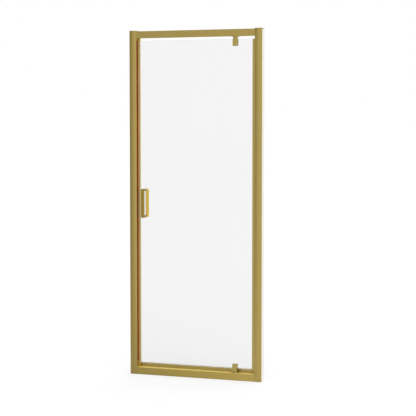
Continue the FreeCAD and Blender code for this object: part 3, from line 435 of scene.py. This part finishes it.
def give(material, *nodes):
    """Gives a finish to the slots of CAD nodes."""
    for name in nodes:
        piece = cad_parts[name]
        if not piece.material_slots:
            piece.data.materials.append(material)
        for slot in piece.material_slots:
            slot.material = material


# ---------------------------------------------------------------- modelling


def let_go():
    """Leaves edit mode with nothing selected."""
    if bpy.context.mode != "OBJECT":
        bpy.ops.object.mode_set(mode="OBJECT")
    bpy.ops.object.select_all(action="DESELECT")


def run_of_vinyl(name, path, run, wall, corner):
    """A thin-walled profile: a path of points, drawn out along run, then given its wall.

    A path that ends where it starts makes a closed tube.
    """
    let_go()
    bpy.ops.mesh.primitive_plane_add(size=wall, location=path[0])
    piece = bpy.context.object
    piece.name = name
    bpy.ops.object.mode_set(mode="EDIT")
    bpy.ops.mesh.select_all(action="SELECT")
    bpy.ops.mesh.merge(type="CENTER")
    for before, after in zip(path, path[1:]):
        step = Vector(after) - Vector(before)
        bpy.ops.mesh.extrude_region_move(TRANSFORM_OT_translate={"value": step})
    bpy.ops.mesh.select_all(action="SELECT")
    bpy.ops.mesh.extrude_region_move(TRANSFORM_OT_translate={"value": run})
    bpy.ops.mesh.select_all(action="SELECT")
    bpy.ops.mesh.remove_doubles(threshold=1e-6)
    bpy.ops.mesh.normals_make_consistent(inside=False)
    bpy.ops.object.mode_set(mode="OBJECT")
    solid = piece.modifiers.new("Wall", "SOLIDIFY")
    solid.thickness = wall
    solid.offset = 0.0
    solid.use_even_offset = True
    soft = piece.modifiers.new("Corners", "BEVEL")
    soft.width = corner
    soft.segments = 2
    soft.limit_method = "ANGLE"
    for modifier in ("Wall", "Corners"):
        bpy.ops.object.modifier_apply(modifier=modifier)
    settle(piece)
    return piece


def bar(name, low, high, corner):
    """A bar between two corners with rounded edges."""
    let_go()
    low, high = Vector(low), Vector(high)
    bpy.ops.mesh.primitive_cube_add(size=1.0, location=(low + high) / 2)
    piece = bpy.context.object
    piece.name = name
    piece.scale = high - low
    bpy.ops.object.transform_apply(location=False, rotation=False, scale=True)
    bpy.ops.object.mode_set(mode="EDIT")
    bpy.ops.mesh.select_all(action="SELECT")
    bpy.ops.mesh.bevel(offset=corner, segments=3, affect="EDGES")
    bpy.ops.object.mode_set(mode="OBJECT")
    settle(piece)
    return piece


def settle(piece):
    """Puts the object at the origin with its place in its mesh, outward and smooth."""
    let_go()
    piece.select_set(True)
    bpy.context.view_layer.objects.active = piece
    bpy.ops.object.transform_apply(location=True, rotation=True, scale=True)
    bpy.ops.object.mode_set(mode="EDIT")
    bpy.ops.mesh.select_all(action="SELECT")
    bpy.ops.mesh.normals_make_consistent(inside=False)
    bpy.ops.object.mode_set(mode="OBJECT")
    bpy.ops.object.shade_smooth_by_angle(angle=SMOOTH_ANGLE)


def finish_piece(piece, material, body):
    """Material and body of a new piece."""
    piece.data.materials.clear()
    piece.data.materials.append(material)
    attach(piece, body)


# ---------------------------------------------------------------- operators


class DOOR_OT_surfaces(Operator):
    """Make the shared metal and water-film node groups"""

    bl_idname = "shower_door.surfaces"
    bl_label = "Surface Groups"

    def execute(self, context):
        metal_group()
        film_group()
        return {"FINISHED"}


class DOOR_OT_frame_finish(Operator):
    """Give the uprights, rails, profiles and their caps their gold finishes"""

    bl_idname = "shower_door.frame_finish"
    bl_label = "Frame Finish"

    def execute(self, context):
        finishes = context.scene.door_finishes
        gold = finishes.anodised
        upward = (1600.0, 1600.0, 3.0)
        across = (3.0, 1600.0, 1600.0)
        sealed = {"smooth": 0.24, "rough": 0.3, "Coat_Weight": 1.0, "Coat_Roughness": 0.12}
        satin = {"smooth": 0.38, "rough": 0.46}
        upright = metal("Anodised Upright", gold, upward, **sealed)
        rail = metal("Anodised Rail", gold, across, **sealed)
        # The threshold's brighter gold is painted light, and its ledge carries a painted highlight
        sill_painted_light = metal("Anodised Sill Painted Light", finishes.sill_painted_light, across, **sealed)
        ledge_painted_highlight(sill_painted_light, finishes.film)
        bar_gold = metal("Anodised Bar", finishes.bar_gold, across, **satin)
        # The strike's brighter gold is painted light against the shade it sits in
        strike = metal("Anodised Strike Painted Light", finishes.strike, upward, smooth=0.3, rough=0.38)
        # The channels' paleness is partly a painted highlight on the upright's side
        channel = metal("Pale Channel Painted Highlight", finishes.channel, (900.0, 900.0, 3.0), **satin)
        plated = {"Metallic": 0.85, "Coat_Weight": 0.3}
        caps = moulding("Gold Moulding", finishes.moulded, 0.24, 0.36, **plated)
        give(upright, "jamb_left", "jamb_right", "trailing_edge_channel")
        give(rail, "top_rail")
        give(sill_painted_light, "threshold_rail")
        give(bar_gold, "water_bar")
        give(strike, "strike_profile")
        give(channel, "wall_channel_left", "wall_channel_right")
        give(caps, "jamb_cap_left", "jamb_cap_right", "jamb_screw_caps")
        return {"FINISHED"}


class DOOR_OT_fittings(Operator):
    """Give the pivot clamps, collars and handles their plated gold"""

    bl_idname = "shower_door.fittings"
    bl_label = "Clamps and Handles"

    def execute(self, context):
        finishes = context.scene.door_finishes
        even = (500.0, 500.0, 500.0)
        drawn = (600.0, 600.0, 40.0)
        polished = {"smooth": 0.14, "rough": 0.2, "height": 0.004, "shade": 0.97}
        clamps = metal("Plated Clamp", finishes.clamp, even, **polished)
        # Painted shade on the outer handle and painted light on the inner one
        outer = metal("Outer Handle Painted Shade", finishes.outer_handle_painted_shade, drawn, **polished)
        inner = metal("Inner Handle Painted Light", finishes.inner_handle_painted_light, drawn, **polished)
        collars = metal("Satin Collar", finishes.clamp, even, 0.34, 0.42, height=0.004)
        for name in ("top", "bottom"):
            give(clamps, name + "_clamp_front", name + "_clamp_back")
            give(collars, name + "_pivot_collar", name + "_anchor_screws")
        give(outer, "handle_outer")
        give(inner, "handle_inner")
        return {"FINISHED"}


class DOOR_OT_hardware(Operator):
    """Give the pins, bushes, cores, anchors and screws their metals and nylon"""

    bl_idname = "shower_door.hardware"
    bl_label = "Pivot Hardware"

    def execute(self, context):
        finishes = context.scene.door_finishes
        turned = (40.0, 40.0, 1400.0)
        even = (900.0, 900.0, 900.0)
        ground = metal("Ground Steel", finishes.steel, (60.0, 60.0, 1500.0), 0.18, 0.3)
        screws = metal("Screw Steel", finishes.steel, even, 0.25, 0.4, shade=0.85)
        brass = metal("Machined Brass", finishes.brass, turned, 0.22, 0.34, height=0.04)
        mill = metal("Mill Aluminium", finishes.mill, (4.0, 900.0, 900.0), 0.35, 0.5, height=0.04)
        nylon = moulding("Nylon", finishes.nylon, 0.4, 0.5, Subsurface_Weight=0.2)
        tan = moulding("Tan Nylon", finishes.washer, 0.4, 0.5)
        give(ground, "top_pivot_pin", "bottom_pivot_pin", "handle_studs")
        give(screws, "corner_screws", "jamb_screws", "handle_grub_screws")
        give(screws, "top_clamp_screws", "bottom_clamp_screws")
        give(brass, "top_pivot_core", "bottom_pivot_core")
        give(mill, "top_pivot_anchor", "bottom_pivot_anchor")
        give(nylon, "top_pivot_bush", "bottom_pivot_bush")
        give(tan, "thrust_washer")
        return {"FINISHED"}


class DOOR_OT_glazing(Operator):
    """Give the pane its glass, the sleeves their clear vinyl and the gaskets their pale one"""

    bl_idname = "shower_door.glazing"
    bl_label = "Glass and Gaskets"

    def execute(self, context):
        finishes = context.scene.door_finishes
        pane = see_through("Toughened Glass", finishes.glass, 0.0, 0.03, 0.5, IOR=1.52)
        soft = {"IOR": 1.3, "Alpha": 0.2}
        vinyl = see_through("Clear Vinyl", finishes.vinyl, 0.05, 0.16, 1.0, **soft)
        pads = moulding("Pale Vinyl", finishes.gasket, 0.35, 0.5)
        give(pane, "glass_panel")
        give(vinyl, "drip_seal", "handle_sleeves")
        give(pads, "top_clamp_gaskets", "bottom_clamp_gaskets", "handle_pads")
        return {"FINISHED"}


class DOOR_OT_closing_seal(Operator):
    """Model the vinyl seal on the closing edge, with its foot and its magnet"""

    bl_idname = "shower_door.closing_seal"
    bl_label = "Closing Seal"

    def execute(self, context):
        finishes = context.scene.door_finishes
        sizes = context.scene.door_seals
        matt = {"grain": 260.0, "Specular_IOR_Level": 0.15}
        # The lip's red-brown is painted shade in the recess beside the jamb
        painted_shade_red = moulding("Red-brown Painted Shade Vinyl", finishes.seal, 0.3, 0.4, **matt)
        painted_light_amber = moulding("Amber Painted Light Vinyl", finishes.painted_light_amber, 0.24, 0.34, **matt)
        # The sleeve's bright gold is painted light in the shaded slot
        gold = moulding("Gold Sleeve Vinyl Painted Light", finishes.sleeve, 0.3, 0.4, **matt)
        ferrite = moulding("Magnet Rubber", finishes.ferrite, 0.5, 0.65, grain=1200.0)
        (x0, y0, z0), (x1, y1, z1) = SEAL
        half = sizes.wall / 2
        corner = half * LIP_CORNER
        joint = GLASS[1].y + AIR
        lip_x = GLASS[0].x + LIP_REACH - half
        grip = [
            (lip_x, y0 + half),
            (x0 + corner, y0 + half),
            (x0 + half, y0 + corner),
            (x0 + half, joint),
        ]
        # The lip above the foot carries painted shade and the foot below it painted light
        seam = z0 + sizes.foot
        spans = (("closing_seal_lip", seam, z1, painted_shade_red), ("closing_seal_foot", z0, seam, painted_light_amber))
        for name, low, high, material in spans:
            path = [(x, y, low) for x, y in grip]
            run = (0.0, 0.0, high - low)
            piece = run_of_vinyl(name, path, run, sizes.wall, sizes.corner)
            finish_piece(piece, material, "door")
            if high == z1:
                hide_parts("door_magnetic_seal")
        sleeve = [
            (x0 + half, joint + half),
            (x1 - half, joint + half),
            (x1 - half, y1 - half),
            (x0 + half, y1 - half),
            (x0 + half, joint + half),
        ]
        path = [(x, y, z0) for x, y in sleeve]
        run = (0.0, 0.0, z1 - z0)
        piece = run_of_vinyl("closing_seal_sleeve", path, run, sizes.wall, sizes.corner)
        finish_piece(piece, gold, "door")
        inset = sizes.wall * SEAL_CORE_INSET
        core = bar(
            "closing_seal_magnet",
            (x0 + inset, joint + inset, z0 + CORE_SETBACK),
            (x1 - inset, y1 - inset, z1 - CORE_SETBACK),
            sizes.corner,
        )
        finish_piece(core, ferrite, "door")
        return {"FINISHED"}


class DOOR_OT_strike_strip(Operator):
    """Model the magnetic strip in the strike profile: a vinyl sleeve round a magnet"""

    bl_idname = "shower_door.strike_strip"
    bl_label = "Strike Strip"

    def execute(self, context):
        finishes = context.scene.door_finishes
        sizes = context.scene.door_seals
        gold = moulding("Gold Vinyl", finishes.moulded, 0.3, 0.42, grain=400.0)
        (x0, y0, z0), (x1, y1, z1) = STRIP
        half = sizes.wall / 2
        loop = [
            (x0 + half, y1 - half, z0),
            (x0 + half, y0 + half, z0),
            (x1 - half, y0 + half, z0),
            (x1 - half, y1 - half, z0),
        ]
        run = (0.0, 0.0, z1 - z0)
        sleeve = run_of_vinyl("strike_strip_sleeve", loop, run, sizes.wall, sizes.corner)
        finish_piece(sleeve, gold, "frame")
        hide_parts("strike_magnetic_strip")
        inset = sizes.wall * STRIP_CORE_INSET
        magnet = bar(
            "strike_strip_magnet",
            (x0 + inset, y0 + inset, z0 + CORE_SETBACK),
            (x1 - inset, y1 - AIR, z1 - CORE_SETBACK),
            sizes.corner,
        )
        finish_piece(magnet, bpy.data.materials["Magnet Rubber"], "frame")
        return {"FINISHED"}


class DOOR_OT_drip_seals(Operator):
    """Model the two clear drip seals: a grip on the glass over a bulb, with a seat between"""

    bl_idname = "shower_door.drip_seals"
    bl_label = "Drip Seals"

    def execute(self, context):
        sizes = context.scene.door_seals
        vinyl = bpy.data.materials["Clear Vinyl"]
        (x0, y0, z0), (x1, y1, z1) = DRIP
        runs = (
            ("drip_seal_long", x0, CLAMP[0].x - END_GAP),
            ("drip_seal_short", CLAMP[1].x + END_GAP, x1),
        )
        half = sizes.wall / 2
        seat = GLASS[0].z - half
        front = y0 + half
        back = y1 - half
        third = (back - front) / 3
        shoulder = third * BULB_SHOULDER
        section = [
            (front, z1),
            (front, seat - half),
            (front + shoulder, z0 + sizes.wall),
            (front + third, z0 + half),
            (back - third, z0 + half),
            (back - shoulder, z0 + sizes.wall),
            (back, seat - half),
            (back, z1),
        ]
        for name, low, high in runs:
            path = [(low, y, z) for y, z in section]
            run = (high - low, 0.0, 0.0)
            piece = run_of_vinyl(name, path, run, sizes.wall, sizes.corner)
            finish_piece(piece, vinyl, "door")
            rest = bar(
                name + "_seat",
                (low, front + half, seat - half),
                (high, back - half, seat + half * SEAT_RISE),
                sizes.corner,
            )
            finish_piece(rest, vinyl, "door")
            if name == "drip_seal_long":
                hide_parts("drip_seal")
        return {"FINISHED"}


class DOOR_OT_studio(Operator):
    """Set up the floor, the soft light and the camera"""

    bl_idname = "shower_door.studio"
    bl_label = "Studio"

    def execute(self, context):
        studio = context.scene.door_studio
        self.make_floor(studio)
        self.make_world(studio)
        self.make_lamp("Key", studio.key, (50, 0, 35), 40)
        self.make_lamp("Rim", studio.rim, (62, 0, 70), 50)
        self.make_camera()
        context.scene.view_settings.view_transform = "Standard"
        return {"FINISHED"}

    def make_floor(self, studio):
        """A wide floor that shows white to the camera but keeps the door's shadow.

        Its own light lifts it to white for the camera and through glass. In mirrored rays it is
        lifted to the level of the surround, so that metal shows no horizon.
        """
        let_go()
        bpy.ops.mesh.primitive_plane_add(size=FLOOR_SIDE, location=(0, 0, 0))
        floor = bpy.context.object
        floor.name = "floor"
        made, tree, shader, place = new_material("Floor", Roughness=0.95)
        shader.inputs["Base Color"].default_value = rgba(studio.floor)
        shader.inputs["Specular IOR Level"].default_value = 0.0
        shader.inputs["Emission Color"].default_value = WHITE
        parts = add_node(tree, "ShaderNodeSeparateXYZ", -1400, -500)
        tree.links.new(place, parts.inputs[0])
        ends = (-START_BLEND, START_BLEND)
        behind = spread(tree, parts.outputs["Y"], 0.0, 1.0, -1230, -500, *ends)
        origin = add_node(tree, "ShaderNodeMix", -1050, -500, data_type="VECTOR")
        tree.links.new(behind, origin.inputs["Factor"])
        origin.inputs[4].default_value = FRONT_START
        origin.inputs[5].default_value = BACK_START
        start = add_node(tree, "ShaderNodeVectorMath", -880, -500, operation="SUBTRACT")
        tree.links.new(place, start.inputs[0])
        tree.links.new(origin.outputs[1], start.inputs[1])
        outward = add_node(tree, "ShaderNodeVectorMath", -700, -500, operation="NORMALIZE")
        tree.links.new(start.outputs["Vector"], outward.inputs[0])
        around = self.level(tree, outward.outputs["Vector"], studio, -500, -500)
        own = add_node(tree, "ShaderNodeMath", -100, -500, operation="SUBTRACT", use_clamp=True)
        tree.links.new(around, own.inputs[0])
        own.inputs[1].default_value = studio.bare_floor
        rays = add_node(tree, "ShaderNodeLightPath", -900, -200)
        direct = add_node(tree, "ShaderNodeMath", -500, -200, operation="MULTIPLY")
        tree.links.new(rays.outputs["Is Camera Ray"], direct.inputs[0])
        direct.inputs[1].default_value = 1.0 - studio.dim_floor
        mirrored = add_node(tree, "ShaderNodeMath", -300, -350, operation="MULTIPLY")
        tree.links.new(rays.outputs["Is Glossy Ray"], mirrored.inputs[0])
        tree.links.new(own.outputs[0], mirrored.inputs[1])
        through = add_node(tree, "ShaderNodeMix", -100, -350)
        tree.links.new(rays.outputs["Is Transmission Ray"], through.inputs["Factor"])
        tree.links.new(mirrored.outputs[0], through.inputs["A"])
        through.inputs["B"].default_value = 1.0 - studio.bare_floor
        lift = add_node(tree, "ShaderNodeMath", 80, -200, operation="MAXIMUM")
        tree.links.new(direct.outputs[0], lift.inputs[0])
        tree.links.new(through.outputs["Result"], lift.inputs[1])
        tree.links.new(lift.outputs[0], shader.inputs["Emission Strength"])
        floor.data.materials.append(made)

    def level(self, tree, direction, studio, x, y):
        """How bright the soft surround is in a direction: brighter towards the right."""
        aim = add_node(tree, "ShaderNodeVectorMath", x, y, operation="DOT_PRODUCT")
        aim.inputs[1].default_value = SOFT_AIM
        tree.links.new(direction, aim.inputs[0])
        whole = add_node(tree, "ShaderNodeMath", x + 180, y, operation="ADD")
        whole.inputs[1].default_value = studio.ambient
        tree.links.new(aim.outputs["Value"], whole.inputs[0])
        kept = add_node(tree, "ShaderNodeClamp", x + 360, y)
        set_inputs(kept, Min=studio.dimmest, Max=studio.brightest)
        tree.links.new(whole.outputs[0], kept.inputs["Value"])
        return kept.outputs["Result"]

    def make_world(self, studio):
        """Soft light all round, and white to the camera and through glass."""
        world = bpy.data.worlds.new("Studio")
        bpy.context.scene.world = world
        world.use_nodes = True
        tree = world.node_tree
        tree.nodes.clear()
        place = add_node(tree, "ShaderNodeTexCoord", -900, 0)
        around = add_node(tree, "ShaderNodeBackground", -200, 100)
        strength = self.level(tree, place.outputs["Generated"], studio, -650, 0)
        tree.links.new(strength, around.inputs["Strength"])
        white = add_node(tree, "ShaderNodeBackground", -200, -100)
        rays = add_node(tree, "ShaderNodeLightPath", -450, 400)
        seen = add_node(tree, "ShaderNodeMath", -200, 400, operation="MAXIMUM")
        tree.links.new(rays.outputs["Is Camera Ray"], seen.inputs[0])
        tree.links.new(rays.outputs["Is Transmission Ray"], seen.inputs[1])
        mix = add_node(tree, "ShaderNodeMixShader", 100, 100)
        tree.links.new(seen.outputs[0], mix.inputs["Fac"])
        tree.links.new(around.outputs[0], mix.inputs[1])
        tree.links.new(white.outputs[0], mix.inputs[2])
        for background in (around, white):
            background.inputs["Color"].default_value = WHITE
        output = add_node(tree, "ShaderNodeOutputWorld", 350, 100)
        tree.links.new(mix.outputs[0], output.inputs["Surface"])

    def make_lamp(self, name, strength, turn, spread_deg):
        """A wide soft sun, turned by three angles in degrees."""
        lamp = bpy.data.lights.new(name, "SUN")
        lamp.energy = strength
        lamp.angle = math.radians(spread_deg)
        made = bpy.data.objects.new(name, lamp)
        made.rotation_euler = tuple(math.radians(angle) for angle in turn)
        bpy.context.scene.collection.objects.link(made)

    def make_camera(self):
        """The photograph's view: right of the middle, a little above the door's mid height."""
        camera = bpy.data.cameras.new("Camera")
        camera.sensor_width = SENSOR_MM
        camera.lens = FOCAL_PX / PHOTO_SIDE_PX * SENSOR_MM
        camera.shift_y = SHIFT_PX / PHOTO_SIDE_PX
        camera.clip_end = CAMERA_FAR
        made = bpy.data.objects.new("Camera", camera)
        made.location = CAMERA_PLACE
        made.rotation_euler = (CAMERA_PITCH, 0.0, CAMERA_TURN)
        bpy.context.scene.collection.objects.link(made)
        bpy.context.scene.camera = made


class DOOR_PT_panel(Panel):
    """Sidebar panel with the door's settings and steps"""

    bl_idname = "DOOR_PT_panel"
    bl_label = "Pivot Shower Door"
    bl_space_type = "VIEW_3D"
    bl_region_type = "UI"
    bl_category = "Shower Door"

    def draw(self, context):
        layout = self.layout
        for settings in SETTINGS:
            group = getattr(context.scene, settings)
            box = layout.box()
            for name in group.bl_rna.properties.keys():
                if name not in ("rna_type", "name"):
                    box.prop(group, name)
        for step in STEPS:
            layout.operator(step.bl_idname)


SETTINGS = {
    "door_finishes": DoorFinishes,
    "door_seals": DoorSeals,
    "door_studio": DoorStudio,
}
STEPS = (
    DOOR_OT_surfaces,
    DOOR_OT_frame_finish,
    DOOR_OT_fittings,
    DOOR_OT_hardware,
    DOOR_OT_glazing,
    DOOR_OT_closing_seal,
    DOOR_OT_strike_strip,
    DOOR_OT_drip_seals,
    DOOR_OT_studio,
)
CLASSES = tuple(SETTINGS.values()) + STEPS + (DOOR_PT_panel,)


def register():
    for made in CLASSES:
        bpy.utils.register_class(made)
    for name, group in SETTINGS.items():
        setattr(bpy.types.Scene, name, PointerProperty(type=group))


def unregister():
    for name in SETTINGS:
        delattr(bpy.types.Scene, name)
    for made in reversed(CLASSES):
        bpy.utils.unregister_class(made)


def main():
    """Runs every step."""
    register()
    for step in STEPS:
        family, operator = step.bl_idname.split(".")
        getattr(getattr(bpy.ops, family), operator)()
    let_go()


if __name__ == "__main__":
    main()
